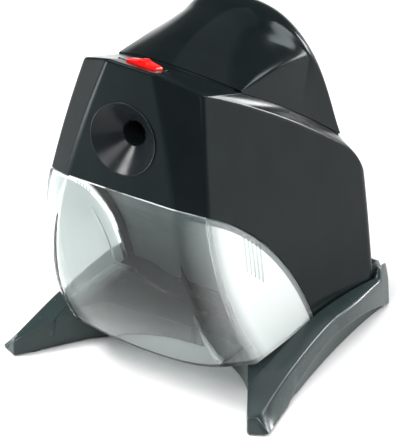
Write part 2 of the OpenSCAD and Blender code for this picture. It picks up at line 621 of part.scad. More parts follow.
// ---- Gear frame and drive, in the feed frame ---------------------------------------------

module rear_plate() {
    color("#9aa0a2") feed() translate([0, 0, 59.6]) difference() {
        union() {
            rounded_plate(plate_x, -17, 17, 4, 3);
            rounded_plate(8, -10, 27, 4, 3);
        }
        translate([0, 0, -1]) cylinder(r = 5.5, h = 8);
        translate([0, idler_y, -1]) cylinder(r = 2.05, h = 8);
        translate([0, 0, -1]) pillar_places() cylinder(r = 1.6, h = 8);
    }
}
module rear_bush() {
    color("#b9803c") feed() translate([0, 0, 59.6]) difference() {
        cylinder(r = 5.5, h = 3);
        translate([0, 0, -1]) cylinder(r = 3.55, h = 8);
    }
}
module frame_pillars() {
    color("#8d9395") feed() translate([0, 0, 21]) pillar_places() difference() {
        union() {
            cylinder(r = 2.2, h = 38.6);
            translate([0, 0, -10]) cylinder(r = 1.25, h = 11);
        }
        translate([0, 0, 33]) cylinder(r = 1.35, h = 8);
    }
}
module frame_screws() {
    color("silver") feed() translate([0, 0, 69.5]) pillar_places() screw(1.3, 14, 2.4, 1.6);
}
module idler_shaft() {
    color("silver") feed() translate([0, idler_y, 54.2]) cylinder(r = 2, h = 12.3);
}
module idler_pinion() {
    color("#e6e2d2") feed() translate([0, idler_y, 54.6]) difference() {
        rotate([0, 0, 180 / idler_pinion_teeth]) linear_extrude(3.8) gear_outline(idler_pinion_teeth, 0.7, 1.1, 0.16);
        translate([0, 0, -1]) cylinder(r = 2, h = 8);
    }
}
module idler_gear() {
    color("#e6e2d2") feed() translate([0, idler_y, 63.2]) difference() {
        rotate([0, 0, 180 / idler_teeth]) linear_extrude(2.9) gear_outline(idler_teeth, 0.7, 1.1, 0.16);
        translate([0, 0, -1]) cylinder(r = 2, h = 8);
    }
}
module motor_plate() {
    color("#9aa0a2") feed() translate([0, 0, 67]) difference() {
        rounded_plate(plate_x, -17, 17, 4, 2.5);
        translate([0, 0, -1]) cylinder(r = 5.2, h = 8);
        for (sx = [-1, 1]) translate([sx * 8, 0, -1]) cylinder(r = 1.4, h = 8);
        translate([0, 0, -1]) pillar_places() cylinder(r = 1.6, h = 8);
    }
}
module motor_spacers() {
    color("#8d9395") feed() translate([0, 0, 62.6]) pillar_places() difference() {
        cylinder(r = 2.4, h = 4.4);
        translate([0, 0, -1]) cylinder(r = 1.5, h = 8);
    }
}

motor_r = 13.8;
motor_l = 24;
module motor_can() {
    color("#aab0b2") feed() translate([0, 0, 69.5]) difference() {
        union() {
            cylinder(r = motor_r, h = motor_l, $fn = 72);
            translate([0, 0, -2.2]) cylinder(r = 5, h = 3);
        }
        translate([0, 0, 1.4]) cylinder(r = motor_r - 1.4, h = motor_l, $fn = 72);
        translate([0, 0, -4]) cylinder(r = 1.06, h = 10);
        for (sx = [-1, 1]) translate([sx * 8, 0, -1]) cylinder(r = 1.2, h = 4);
    }
}
module motor_end_cap() {
    color("#e8e6dc") feed() translate([0, 0, 69.5 + motor_l]) difference() {
        union() {
            cylinder(r = motor_r - 0.2, h = 2, $fn = 72);
            for (sx = [-1, 1]) translate([sx * 9 - 1.5, -0.4, 0]) cube([3, 0.8, 4]);
        }
        translate([0, 0, -2]) cylinder(r = 1.06, h = 3.2);
    }
}
module motor_shaft() {
    color("silver") feed() translate([0, 0, 63]) cylinder(r = 1, h = 31.6);
}
module armature() {
    color("#8a5a30") feed() translate([0, 0, 73.5]) difference() {
        union() {
            for (a = [0, 60, 120]) rotate([0, 0, a]) translate([-10.6, -2.6, 0]) cube([21.2, 5.2, 14]);
            cylinder(r = 6, h = 17);
        }
        translate([0, 0, -1]) cylinder(r = 1, h = 20);
    }
}
module motor_pinion() {
    color("#c9a04a") feed() translate([0, 0, 63.1]) difference() {
        linear_extrude(3.4) gear_outline(motor_teeth, 0.7, 1.1, 0.16);
        translate([0, 0, -1]) cylinder(r = 1, h = 8);
    }
}
module motor_screws() {
    color("silver") feed() for (sx = [-1, 1]) translate([sx * 8, 0, 67]) rotate([180, 0, 0]) screw(1.2, 3.6, 2.2, 1.2);
}

// ---- Electrical parts --------------------------------------------------------------------

board_y = 26.4;
board_z = 20;
board = [56, 24];
module circuit_board() {
    color("#2f6b3f") difference() {
        translate([-board[0] / 2, board_y, board_z]) cube([board[0], board[1], 1.6]);
        for (sx = [-1, 1]) for (y = [4, 20]) translate([sx * 24, board_y + y, board_z - 1]) cylinder(r = 1.6, h = 4);
    }
}
module board_components() {
    color("#3a3f66") translate([0, board_y, board_z + 1.6]) {
        translate([12, 6, 0]) cylinder(r = 4, h = 11);
        translate([2, 6, 0]) cylinder(r = 3, h = 8);
        translate([-22, 8, 0]) cube([15, 7, 9]);
        translate([0, 15, 0]) cube([12, 5, 7]);
    }
}
module dc_jack() {
    color("#101314") translate([jack_x, 0, jack_z]) {
        rotate([-90, 0, 0]) difference() {
            union() {
                translate([0, 0, 44]) cylinder(r = 5, h = body_rear - 44);
                translate([0, 0, body_rear]) cylinder(r = 6.6, h = 1.2);
            }
            translate([0, 0, 45.5]) cylinder(r = 2.8, h = 20);
        }
        rotate([-90, 0, 0]) translate([0, 0, 45]) cylinder(r = 1.05, h = body_rear - 46);
    }
}
module jack_nut() {
    color("silver") translate([jack_x, body_rear - wall - 3.4, jack_z]) rotate([-90, 0, 0]) difference() {
        cylinder(r = 7, h = 3, $fn = 6);
        translate([0, 0, -1]) cylinder(r = 5, h = 5);
    }
}

module interlock_switch() {
    color("#181b1c") translate(interlock) difference() {
        translate([-3, 0, 0]) cube([6, 7, 12]);
        translate([0, -1, 6]) rotate([-90, 0, 0]) cylinder(r = 1.55, h = 5);
    }
}
module interlock_plunger() {
    color("#d02020") translate(interlock + [0, -7.6, 6]) rotate([-90, 0, 0]) cylinder(r = 1.5, h = 9.6);
}

switch_wire = [[5, -47.6, 124.4], [10, -44, 122.5], [18, -43, 119], [25.6, -40, 115], [26.6, -30, 110], [26.6, -14, 104],
    [27, 4, 92], [27, 18, 70], [24, 28, 48], [14, 40, 36], [8, 43.4, 29.9]];
motor_wire = [[9, 41.4, 102.2], [14, 43.6, 92], [18, 43, 74], [16, 43, 54], [11, 43.8, 38], [10, 44.4, 29.9]];
jack_wire = [[-22, 43, 31], [-21, 41, 34], [-17, 39, 35], [-14, 38.4, 32.2]];
module wiring() {
    color("#b02020") {
        tube(switch_wire, 0.9);
        tube(motor_wire, 0.9);
        tube(jack_wire, 0.9);
    }
}

base();
base_plate();
rubber_feet();
base_screws();
main_housing();
motor_cover();
housing_screws();
shavings_tray();
tray_stop();
shavings_chute();
pencil_guide();
switch_bezel();
power_rocker();
switch_body();
switch_terminals();
front_plate();
front_bush();
ring_gear();
cutter_carrier();
helical_cutter();
cutter_pin();
cutter_pinion();
carrier_gear();
rear_plate();
rear_bush();
frame_pillars();
frame_screws();
idler_gear();
idler_shaft();
idler_pinion();
motor_plate();
motor_spacers();
motor_can();
motor_end_cap();
armature();
motor_shaft();
motor_pinion();
motor_screws();
circuit_board();
board_components();
dc_jack();
jack_nut();
interlock_switch();
interlock_plunger();
wiring();
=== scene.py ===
import math
import bpy
import bmesh
import numpy as np
from mathutils import Matrix, Vector


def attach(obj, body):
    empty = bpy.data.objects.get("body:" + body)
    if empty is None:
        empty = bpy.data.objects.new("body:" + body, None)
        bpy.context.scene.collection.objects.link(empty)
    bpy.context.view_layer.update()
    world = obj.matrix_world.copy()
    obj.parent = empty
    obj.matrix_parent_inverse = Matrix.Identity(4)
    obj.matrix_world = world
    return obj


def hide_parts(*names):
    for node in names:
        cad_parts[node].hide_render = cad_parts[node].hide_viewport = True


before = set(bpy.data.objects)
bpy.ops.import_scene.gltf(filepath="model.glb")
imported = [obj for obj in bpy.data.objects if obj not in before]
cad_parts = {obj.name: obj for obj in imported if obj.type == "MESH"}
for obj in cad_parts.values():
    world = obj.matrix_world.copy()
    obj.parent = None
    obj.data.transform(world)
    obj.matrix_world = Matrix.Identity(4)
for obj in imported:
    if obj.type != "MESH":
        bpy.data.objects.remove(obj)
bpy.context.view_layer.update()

MM = 0.001
JOIN_WITHIN = 2e-6

# ---------------------------------------------------------------- the body's shape, in millimetres
BODY_HALF, TOP, NOSE, REAR, LEAN, WALL = 44.4, 146.0, 60.9, 54.0, math.radians(8), 2.2
BEND, SEAT, TRAY_LOW, TRAY_WALL, TRAY_GAP = 84.0, 12.6, 8.6, 1.8, 0.4
COVER_X, COVER_TIP, COVER_FRONT, COVER_REAR, COVER_BULGE = 28.1, -28.4, -18, 48.5, 2.2
ARC_Y, ARC_Z, ARC_R = -120.8, -32.5, 140.9
FUNNEL_R, FUNNEL_Z, BORE_R, INLET_R, BEZEL, BAND_LEAN = 14.8, 116, 5.0, 5.1, (24, 6), math.radians(-23)


def lerp(a, b, t):
    return a + (b - a) * t


def V(*p):
    return np.array(p, float)


def unit(v):
    return v / np.linalg.norm(v)


def bez(p, q, r, t):
    return (1 - t) ** 2 * p + 2 * t * (1 - t) * q + t * t * r


def side_x(z):
    return BODY_HALF - 0.055 * (z - 14) - 0.00068 * (z - 14) ** 2


def panel_x(z):
    return 33.9 - 0.03 * (z - 17) - 0.00119 * (z - 17) ** 2


def panel_y(z):
    return -NOSE + ((z - BEND) * math.tan(LEAN) if z > BEND else 0.00089 * (BEND - z) ** 2.4)


def facet_depth(z):
    return 7.6 + 3.4 * ((z - BEND) / 53) ** 2 if z > BEND else min(9.4, 7.6 + 0.05 * (BEND - z))


def facet_y(z):
    return panel_y(z) + facet_depth(z)


def shoulder_z(y):
    return TOP - 9.1 - 0.56 * (y + 43) - 0.0015 * (y + 43) ** 2


def edge_z(y):
    """The shoulder on the walls, which rounds down over the rear corners."""
    return shoulder_z(y) - 0.055 * max(0, y - 42) ** 2


def part_z(y):
    return ARC_Z + math.sqrt(max(0, ARC_R ** 2 - (y - ARC_Y) ** 2))


def part_y(z):
    return ARC_Y + math.sqrt(ARC_R ** 2 - (z - ARC_Z) ** 2)


def cover_front(x):
    return V(x, COVER_TIP + 10.4 * (x / COVER_X) ** 2, TOP - 10.6 - 8.7 * (x / COVER_X) ** 2)


def cover_foot(y):
    return V(COVER_X + 0.045 * (y - COVER_FRONT), y, shoulder_z(y) + 4.7)


FRONT_HALF = side_x(TOP - 9.1)


# ---------------------------------------------------------------- helpers for meshes and materials
def smooth_by_angle(ob, degrees):
    me = ob.data
    for p in me.polygons:
        p.use_smooth = True
    me.set_sharp_from_angle(angle=math.radians(degrees))


def face_outward(bm):
    """Turns all faces the same way, away from the mesh's middle."""
    bmesh.ops.recalc_face_normals(bm, faces=bm.faces)
    mid = sum((v.co for v in bm.verts), Vector()) / len(bm.verts)
    if sum(f.normal.dot(f.calc_center_median() - mid) * f.calc_area() for f in bm.faces) < 0:
        bmesh.ops.reverse_faces(bm, faces=bm.faces)


def plain_object(name, verts, faces, dissolve=False):
    """Object from points in millimetres, with double points joined and faces turned outwards."""
    me = bpy.data.meshes.new(name)
    me.from_pydata([tuple(float(c) * MM for c in v) for v in verts], [], faces)
    ob = bpy.data.objects.new(name, me)
    bpy.context.scene.collection.objects.link(ob)
    bm = bmesh.new()
    bm.from_mesh(me)
    bmesh.ops.remove_doubles(bm, verts=bm.verts, dist=JOIN_WITHIN)
    if dissolve:
        bmesh.ops.dissolve_degenerate(bm, edges=bm.edges, dist=JOIN_WITHIN / 2)
    face_outward(bm)
    bm.to_mesh(me)
    bm.free()
    return ob


def new_object(name, verts, faces, material, body, replaces, degrees=32, weighted=True):
    """Visible piece that rides on a body and stands in for a CAD node."""
    ob = plain_object(name, verts, faces, dissolve=True)
    ob.data.materials.append(material)
    smooth_by_angle(ob, degrees)
    if weighted:
        add_weighted(ob)
    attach(ob, body)
    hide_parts(replaces)
    return ob


def add_weighted(ob):
    w = ob.modifiers.new("normals", "WEIGHTED_NORMAL")
    w.keep_sharp = True
    w.mode = "FACE_AREA"


def bake_modifiers(ob):
    """Puts the object's modifiers into its mesh."""
    dg = bpy.context.evaluated_depsgraph_get()
    done = ob.evaluated_get(dg)
    me = bpy.data.meshes.new_from_object(done, preserve_all_data_layers=True, depsgraph=dg)
    old = ob.data
    ob.modifiers.clear()
    bm = bmesh.new()
    bm.from_mesh(me)
    if bm.calc_volume(signed=True) < 0:
        bmesh.ops.reverse_faces(bm, faces=bm.faces)
        bm.to_mesh(me)
    bm.free()
    ob.data = me
    me.name = old.name + "_shape"


def grid_faces(rows, cols, closed=False, base=0):
    out = []
    for i in range(rows - 1):
        for j in range(cols if closed else cols - 1):
            a, b = i * cols + j, i * cols + (j + 1) % cols
            out.append((base + a, base + b, base + b + cols, base + a + cols))
    return out


def solidify(ob, thickness):
    """Thickens a skin inwards."""
    m = ob.modifiers.new("wall", "SOLIDIFY")
    m.thickness = thickness * MM
    m.offset = -1
    m.use_even_offset = True
    m.use_quality_normals = True


def cut(ob, tool, mode):
    m = ob.modifiers.new("cut", "BOOLEAN")
    m.operation = mode
    m.solver = "EXACT"
    m.object = tool


def lathe(profile, n):
    """Points and faces of a closed profile [(r, h)] turned about Z."""
    verts, faces = [], []
    k = len(profile)
    for i in range(n):
        a = 2 * math.pi * i / n
        verts += [(r * math.cos(a), r * math.sin(a), h) for r, h in profile]
    for i in range(n):
        for j in range(k):
            a, b = i * k + j, i * k + (j + 1) % k
            c, d = ((i + 1) % n) * k + (j + 1) % k, ((i + 1) % n) * k + j
            faces.append((a, b, c, d))
    return verts, faces


def circle(r, n):
    return [(r * math.cos(t), r * math.sin(t)) for t in np.linspace(0, 2 * math.pi, n + 1)[:-1]]


def place(verts, frame_matrix):
    return [tuple(frame_matrix @ Vector(v)) for v in verts]


def rounded_profile(points, radii, steps=4):
    """Closed profile with each corner replaced by a short arc."""
    out = []
    n = len(points)
    for i, p in enumerate(points):
        p, a, b = V(*p), V(*points[i - 1]), V(*points[(i + 1) % n])
        r = radii[i]
        if r <= 0:
            out.append(tuple(p))
            continue
        ra = min(r, np.linalg.norm(a - p) * 0.45)
        rb = min(r, np.linalg.norm(b - p) * 0.45)
        s, e = p + unit(a - p) * ra, p + unit(b - p) * rb
        out += [tuple(bez(s, p, e, k / steps)) for k in range(steps + 1)]
    return out


# the feed frame: +Z along the pencil's way in from the panel's face, +Y down
FEED = (Matrix.Translation(Vector((0, panel_y(FUNNEL_Z), FUNNEL_Z)))
        @ Matrix.Rotation(math.radians(-90) - LEAN, 4, "X"))
# the switch's frame on the top band, +Z out of it
BAND = Matrix.Translation(Vector((0, -41.7, TOP - 4.9))) @ Matrix.Rotation(BAND_LEAN, 4, "X")
# the power inlet's frame on the rear wall
INLET = Matrix.Translation(Vector((-22, REAR, 31))) @ Matrix.Rotation(math.radians(90), 4, "X")


class Nodes:
    """Short way to build a material's nodes."""

    def __init__(self, name, base, rough, **principled):
        self.mat = bpy.data.materials.new(name)
        self.mat.use_nodes = True
        self.t = self.mat.node_tree
        self.p = self.t.nodes["Principled BSDF"]
        self.p.inputs["Base Color"].default_value = (*base, 1)
        self.p.inputs["Roughness"].default_value = rough
        for k, v in principled.items():
            self.p.inputs[k.replace("_", " ")].default_value = v
        self.coord = self.node("ShaderNodeTexCoord").outputs["Object"]

    def node(self, kind, **inputs):
        n = self.t.nodes.new(kind)
        for k, v in inputs.items():
            n.inputs[k.replace("_", " ")].default_value = v
        return n

    def link(self, a, b):
        self.t.links.new(a, b)

    def noise(self, scale, detail=3, rough=0.5, stretch=None):
        n = self.node("ShaderNodeTexNoise", Scale=scale, Detail=detail, Roughness=rough)
        src = self.coord
        if stretch:
            m = self.node("ShaderNodeMapping")
            m.inputs["Scale"].default_value = stretch
            self.link(src, m.inputs["Vector"])
            src = m.outputs["Vector"]
        self.link(src, n.inputs["Vector"])
        return n.outputs["Fac"]

    def ramp(self, fac, stops):
        r = self.node("ShaderNodeValToRGB")
        els = r.color_ramp.elements
        while len(els) < len(stops):
            els.new(0.5)
        for e, (pos, col) in zip(els, stops):
            e.position = pos
            e.color = (*col, 1)
        self.link(fac, r.inputs["Fac"])
        return r.outputs["Color"]

    def span(self, fac, lo, hi, a, b):
        m = self.node("ShaderNodeMapRange")
        for k, v in zip(("From Min", "From Max", "To Min", "To Max"), (lo, hi, a, b)):
            m.inputs[k].default_value = v
        self.link(fac, m.inputs["Value"])
        return m.outputs["Result"]

    def bump(self, height, strength, distance):
        b = self.node("ShaderNodeBump", Strength=strength, Distance=distance)
        self.link(height, b.inputs["Height"])
        self.link(b.outputs["Normal"], self.p.inputs["Normal"])


def plastic(name, dark, light, rough, grain=900, grain_height=0.00002, spec=0.5):
    """Moulded plastic: slow colour drift, fine moulded grain and a little uneven gloss."""
    m = Nodes(name, light, rough, Specular_IOR_Level=spec)
    drift = m.noise(60, 3, 0.55)
    m.link(m.ramp(drift, [(0.3, dark), (0.7, light)]), m.p.inputs["Base Color"])
    fine = m.noise(grain, 4, 0.6)
    wear = m.noise(210, 4, 0.62)
    m.link(m.span(wear, 0.3, 0.75, rough * 0.86, rough * 1.22), m.p.inputs["Roughness"])
    m.bump(fine, 0.35, grain_height)
    return m.mat


def metal(name, dark, light, rough, stretch=(1, 1, 1), scale=500, height=0.00002):
    """Metal with fine directional marks and a slight tarnish."""
    m = Nodes(name, light, rough, Metallic=1.0)
    tarnish = m.noise(90, 5, 0.6)
    m.link(m.ramp(tarnish, [(0.3, dark), (0.72, light)]), m.p.inputs["Base Color"])
    lines = m.noise(scale, 5, 0.65, stretch)
    m.link(m.span(lines, 0.25, 0.75, rough * 0.7, rough * 1.35), m.p.inputs["Roughness"])
    m.bump(lines, 0.4, height)
    return m.mat


BLACK = plastic("gloss_body", (0.0055, 0.0080, 0.0083), (0.0075, 0.0105, 0.0108), 0.15,
                grain=1500, grain_height=0.000005, spec=0.05)
BLACK.node_tree.nodes["Principled BSDF"].inputs["Specular Tint"].default_value = (0.82, 0.98, 1.0, 1)
BASE = plastic("base_shell", (0.020, 0.031, 0.031), (0.025, 0.038, 0.038), 0.24,
               grain=1300, grain_height=0.000006, spec=0.32)
TRIM = plastic("black_trim", (0.007, 0.009, 0.010), (0.010, 0.013, 0.014), 0.24,
               grain=1500, grain_height=0.000006, spec=0.14)
CHUTE = plastic("chute_grey", (0.085, 0.100, 0.102), (0.12, 0.14, 0.142), 0.38, grain=900, spec=0.4)
MATT = plastic("inner_black", (0.02, 0.024, 0.025), (0.028, 0.034, 0.035), 0.42, grain=800)
PAD = plastic("pad_rubber", (0.010, 0.010, 0.010), (0.018, 0.018, 0.018), 0.75,
              grain=700, grain_height=0.00006)
NYLON = plastic("gear_nylon", (0.70, 0.67, 0.55), (0.80, 0.77, 0.66), 0.38, grain=600)
STEEL = metal("steel_fixing", (0.40, 0.41, 0.42), (0.58, 0.59, 0.60), 0.28)
TURNED = metal("pillar_steel", (0.38, 0.39, 0.40), (0.52, 0.53, 0.54), 0.3, stretch=(1, 1, 14), scale=300)
GROUND = metal("cutter_steel", (0.44, 0.45, 0.46), (0.64, 0.65, 0.66), 0.22, stretch=(12, 1, 1), scale=260)
ZINC = metal("frame_zinc", (0.30, 0.31, 0.32), (0.44, 0.45, 0.46), 0.42, scale=420, height=0.00005)
BRONZE = metal("bush_bronze", (0.32, 0.18, 0.07), (0.52, 0.33, 0.15), 0.36, scale=900, height=0.00005)
BRASS = metal("terminal_brass", (0.50, 0.36, 0.14), (0.72, 0.55, 0.26), 0.26, scale=500)
SINTER = metal("ring_steel", (0.30, 0.27, 0.21), (0.44, 0.40, 0.33), 0.45, scale=1100, height=0.00006)
CAN = metal("motor_steel", (0.42, 0.44, 0.45), (0.56, 0.58, 0.59), 0.24, stretch=(1, 1, 0.1), scale=400)


def winding_material():
    m = Nodes("winding_copper", (0.42, 0.14, 0.04), 0.3, Metallic=0.8, Coat_Weight=0.5)
    turns = m.node("ShaderNodeTexWave", Scale=900.0, Distortion=0.6)
    turns.bands_direction = "Z"
    m.link(m.coord, turns.inputs["Vector"])
    colour = m.ramp(turns.outputs["Fac"], [(0.2, (0.16, 0.045, 0.015)), (0.7, (0.50, 0.18, 0.06))])
    m.link(colour, m.p.inputs["Base Color"])
    m.bump(turns.outputs["Fac"], 0.8, 0.0002)
    return m.mat


def board_material():
    m = Nodes("board_green", (0.03, 0.16, 0.06), 0.3, Coat_Weight=0.3)
    tracks = m.node("ShaderNodeTexBrick", Scale=160.0, Mortar_Size=0.03)
    tracks.inputs["Color1"].default_value = (0.02, 0.13, 0.05, 1)
    tracks.inputs["Color2"].default_value = (0.03, 0.17, 0.07, 1)
    tracks.inputs["Mortar"].default_value = (0.06, 0.25, 0.10, 1)
    m.link(m.coord, tracks.inputs["Vector"])
    m.link(tracks.outputs["Color"], m.p.inputs["Base Color"])
    m.bump(tracks.outputs["Fac"], 0.5, 0.00005)
    return m.mat


def component_material():
    m = Nodes("component_blue", (0.05, 0.06, 0.16), 0.35)
    fac = m.noise(70, 2, 0.4)
    m.link(m.ramp(fac, [(0.35, (0.02, 0.03, 0.12)), (0.5, (0.05, 0.06, 0.16)), (0.65, (0.09, 0.09, 0.11))]),
           m.p.inputs["Base Color"])
    m.bump(m.noise(900, 3), 0.3, 0.00003)
    return m.mat


def wire_material():
    m = Nodes("wire_red", (0.4, 0.02, 0.02), 0.4, Sheen_Weight=0.1)
    fac = m.noise(300, 3, 0.5)
    m.link(m.ramp(fac, [(0.3, (0.30, 0.012, 0.012)), (0.7, (0.46, 0.03, 0.025))]), m.p.inputs["Base Color"])
    m.bump(fac, 0.3, 0.00003)
    return m.mat


def rocker_material():
    """Red moulded plastic that lets a little light in."""
    m = Nodes("rocker_red", (0.82, 0.010, 0.008), 0.16, Subsurface_Weight=0.25, Subsurface_Scale=0.003,
              Specular_IOR_Level=0.15, Coat_Weight=0.05, Coat_Roughness=0.05)
    m.p.inputs["Subsurface Radius"].default_value = (1.0, 0.15, 0.1)
    fac = m.noise(260, 3, 0.5)
    m.link(m.ramp(fac, [(0.3, (0.62, 0.004, 0.004)), (0.75, (0.90, 0.016, 0.012))]), m.p.inputs["Base Color"])
    m.bump(m.noise(420, 3), 0.3, 0.00004)
    return m.mat


def tray_material():
    """Clear polystyrene; on the turned sides a per-point value of the mesh paints light: a milky whitening
    that stands in for the bright light seen through the clear sides.
    """
    m = Nodes("clear_tray", (0.93, 0.975, 0.965), 0.03, Transmission_Weight=1.0, IOR=1.24)
    painted_light = m.node("ShaderNodeAttribute")
    painted_light.attribute_name = "painted_light"
    scratches = m.noise(240, 5, 0.7, (1, 1, 6))
    flat = m.node("ShaderNodeVectorMath")
    flat.operation = "MULTIPLY"
    flat.inputs[1].default_value = (0, 1, 1)
    m.link(m.coord, flat.inputs[0])
    reach = m.node("ShaderNodeVectorMath")
    reach.operation = "DISTANCE"
    reach.inputs[1].default_value = (0, ARC_Y * MM, ARC_Z * MM)
    m.link(flat.outputs["Vector"], reach.inputs[0])
    edge = (ARC_R - TRAY_GAP) * MM
    # the painted light is cut to 0.15 along the rim at the parting arc
    band = m.span(reach.outputs["Value"], edge - 0.0026, edge - 0.0022, 1.0, 0.15)
    painted_light_level = m.node("ShaderNodeMath")
    painted_light_level.operation = "MULTIPLY"
    m.link(painted_light.outputs["Fac"], painted_light_level.inputs[0])
    m.link(band, painted_light_level.inputs[1])
    # more painted light means less transmission, down to 0.25
    m.link(m.span(painted_light_level.outputs["Value"], 0.0, 1.0, 1.0, 0.25), m.p.inputs["Transmission Weight"])
    m.link(m.span(scratches, 0.5, 0.85, 0.0, 0.05), m.p.inputs["Roughness"])
    m.bump(m.noise(40, 2, 0.4), 0.06, 0.0001)
    return m.mat


ROCKER, TRAY, WIRE = rocker_material(), tray_material(), wire_material()
WINDING, BOARD, COMPONENT = winding_material(), board_material(), component_material()


# ---------------------------------------------------------------- main housing
CROWN = 0.7


def wall_point(kind, s, z):
    if kind == "panel":
        return V(s * panel_x(z), panel_y(z) + CROWN * s * s * panel_x(z) / 34, z)
    if kind == "facet":
        edge_y = panel_y(z) + CROWN * panel_x(z) / 34
        return V(lerp(panel_x(z), side_x(z), s), lerp(edge_y, facet_y(z), s) - 0.5 * s * (1 - s), z)
    if kind == "side":
        return V(side_x(z), lerp(facet_y(z), REAR, s), z)
    return V(side_x(z) * (1 - s), REAR, z)


def wall_top(kind, s):
    if kind == "panel":
        return TOP
    if kind == "facet":
        return TOP - 9.1 * s
    if kind == "rear":
        return edge_z(REAR)
    z = 110.0
    for _ in range(12):
        z = edge_z(wall_point(kind, s, z)[1])
    return z


def wall_low(kind, s):
    if kind == "rear":
        return SEAT + 0.2
    z = 60.0
    for _ in range(60):
        z = (z + max(SEAT, part_z(min(wall_point(kind, s, z)[1], 19.0)))) / 2
    return max(SEAT + 0.2, z)


def cover_edge(kind, s):
    if kind == "panel":
        return cover_front(s * panel_x(TOP) * COVER_X / FRONT_HALF)
    if kind == "facet":
        return cover_front(lerp(panel_x(TOP), FRONT_HALF, s) * COVER_X / FRONT_HALF)
    if kind == "side":
        return cover_foot(lerp(COVER_FRONT, COVER_REAR, s))
    p = cover_foot(COVER_REAR)
    return V(p[0] * (1 - s), COVER_REAR + COVER_BULGE * (1 - (1 - s) ** 2), p[2])


def ledge_way(kind, s):
    if kind == "panel":
        return V(0, 1, 0)
    if kind == "facet":
        return unit(V(-0.7 * s, 1, 0))
    if kind == "side":
        return unit(V(-1, lerp(1, -0.8, s), 0))
    return unit(V(-0.9 * (1 - s), -1, 0))


def ledge_point(kind, s, outer):
    way = ledge_way(kind, s)
    if kind == "panel" or (kind == "facet" and s < 0.9):
        return (0.6 if outer else 1.15) * (way + V(0, 0, 0.2))
    if kind == "facet":
        return (0.3 if outer else 1.2) * way - V(0, 0, 2.6)
    drop = 0.2 if kind == "rear" else max(0.2, 2.6 * (1 - s / 0.4))
    return (0.3 if outer else 3.4) * way - V(0, 0, drop + (0 if outer else 0.9))


WALL_ROWS, BAND_ROWS, EDGE = 30, 8, 1.5


def station(kind, s):
    """One line of the housing from the parting arc up over the shoulder to the cover's foot."""
    low, top = wall_low(kind, s), wall_top(kind, s)
    a, b = wall_point(kind, s, top), cover_edge(kind, s)
    run = np.linalg.norm(b - a)
    r = min(EDGE, 0.3 * run)
    pts = [wall_point(kind, s, lerp(low, top - r, k / WALL_ROWS)) for k in range(WALL_ROWS)]
    before, after = wall_point(kind, s, top - r), a + (b - a) * r / run
    pts += [bez(before, a, after, k / 5) for k in range(6)]
    pts += [lerp(after, b, k / BAND_ROWS) for k in range(1, BAND_ROWS + 1)]
    pts += [b + ledge_point(kind, s, outer) for outer in (True, False)]
    return np.array(pts)


def blended(a, c, b, steps=5):
    return [bez(a, c, b, k / steps) for k in range(1, steps)]


def housing_lines():
    px = panel_x(110)
    flen = math.hypot(side_x(110) - px, facet_depth(110))
    r1, r2 = 1.5, 1.7
    lines = [station("panel", s) for s in np.linspace(0, 1 - r1 / px - 0.03, 6)]
    before = station("panel", 1 - r1 / px)
    after = station("facet", r1 / flen)
    lines += [before] + blended(before, station("panel", 1), after) + [after]
    lines += [station("facet", s) for s in np.linspace(r1 / flen + 0.06, 1 - r2 / flen - 0.06, 4)]
    before = station("facet", 1 - r2 / flen)
    after = station("side", r2 / 100)
    lines += [before] + blended(before, station("facet", 1), after) + [after]
    lines += [station("side", s) for s in np.linspace(r2 / 100 + 0.012, 0.94, 34)]
    before, after = station("side", 0.955), station("rear", 0.1)
    lines += [before] + blended(before, station("side", 1), after, 7) + [after]
    lines += [station("rear", s) for s in np.linspace(0.16, 1, 6)]
    return lines


def prism(outline, h0, h1, m):
    """Closed prism over a 2D outline between two heights, in a frame."""
    n = len(outline)
    verts = place([(x, y, h) for h in (h0, h1) for x, y in outline], m)
    faces = [tuple(range(n - 1, -1, -1)), tuple(range(n, 2 * n))]
    faces += [(i, (i + 1) % n, n + (i + 1) % n, n + i) for i in range(n)]
    return verts, faces


def bezel_outline(extra, n=26):
    """Rectangle round the rocker with a pointed flare at each end."""
    length, width = BEZEL[0] + 2 * extra, BEZEL[1] + 2 * extra
    r = ((length / 2) ** 2 + (width / 2) ** 2) / width
    hx, hy = 8.1 + extra, 4.0 + extra

    def lens(x):
        return math.sqrt(max(0, r * r - x * x)) - (r - width / 2)
    flare = [(x, max(0, lens(x))) for x in (lerp(-length / 2, -hx, k / n) for k in range(n))]
    top = flare + [(-hx, hy), (hx, hy)] + [(-x, y) for x, y in flare[::-1]]
    bottom = [(x, -y) for x, y in top[::-1][1:-1]]
    return top + bottom


def finish_shell(ob, degrees, mode="DIFFERENCE", tools=()):
    """Cuts or joins the tools, puts the modifiers into the mesh and smooths it."""
    for tool in tools:
        cut(ob, tool, mode)
    bake_modifiers(ob)
    for tool in tools:
        mesh = tool.data
        bpy.data.objects.remove(tool)
        bpy.data.meshes.remove(mesh)
    smooth_by_angle(ob, degrees)
    add_weighted(ob)


def make_housing():
    half = housing_lines()
    lines = half + [l * V(-1, 1, 1) for l in half[-2:0:-1]]
    cols, rows = len(lines), len(lines[0])
    verts = [lines[j][i] for i in range(rows) for j in range(cols)]
    ob = new_object("housing_shell", verts, grid_faces(rows, cols, True), BLACK, "housing", "main_housing",
                    degrees=30, weighted=False)
    solidify(ob, WALL)
    finish_shell(ob, 30, "DIFFERENCE", [
        plain_object("funnel_hole", *prism(circle(FUNNEL_R - 0.7, 96), -8, 9, FEED)),
        plain_object("switch_hole", *prism(bezel_outline(0.15), -8, 8, BAND)),
        plain_object("inlet_hole", *prism(circle(INLET_R, 48), -6, 6, INLET))])


# ---------------------------------------------------------------- motor cover
def crease(v):
    if v < 0.6:
        p = bez(V(COVER_FRONT, TOP - 19.3), V(12, TOP - 18.6), V(31, TOP - 25.5), v / 0.6)
        return V(COVER_X, p[0], p[1])
    t, e = (v - 0.6) / 0.4, cover_foot(COVER_REAR)
    p = bez(V(31, TOP - 25.5), V(36.5, TOP - 27.5), V(COVER_REAR, e[2]), t)
    return V(lerp(COVER_X, e[0], t), p[0], p[1])


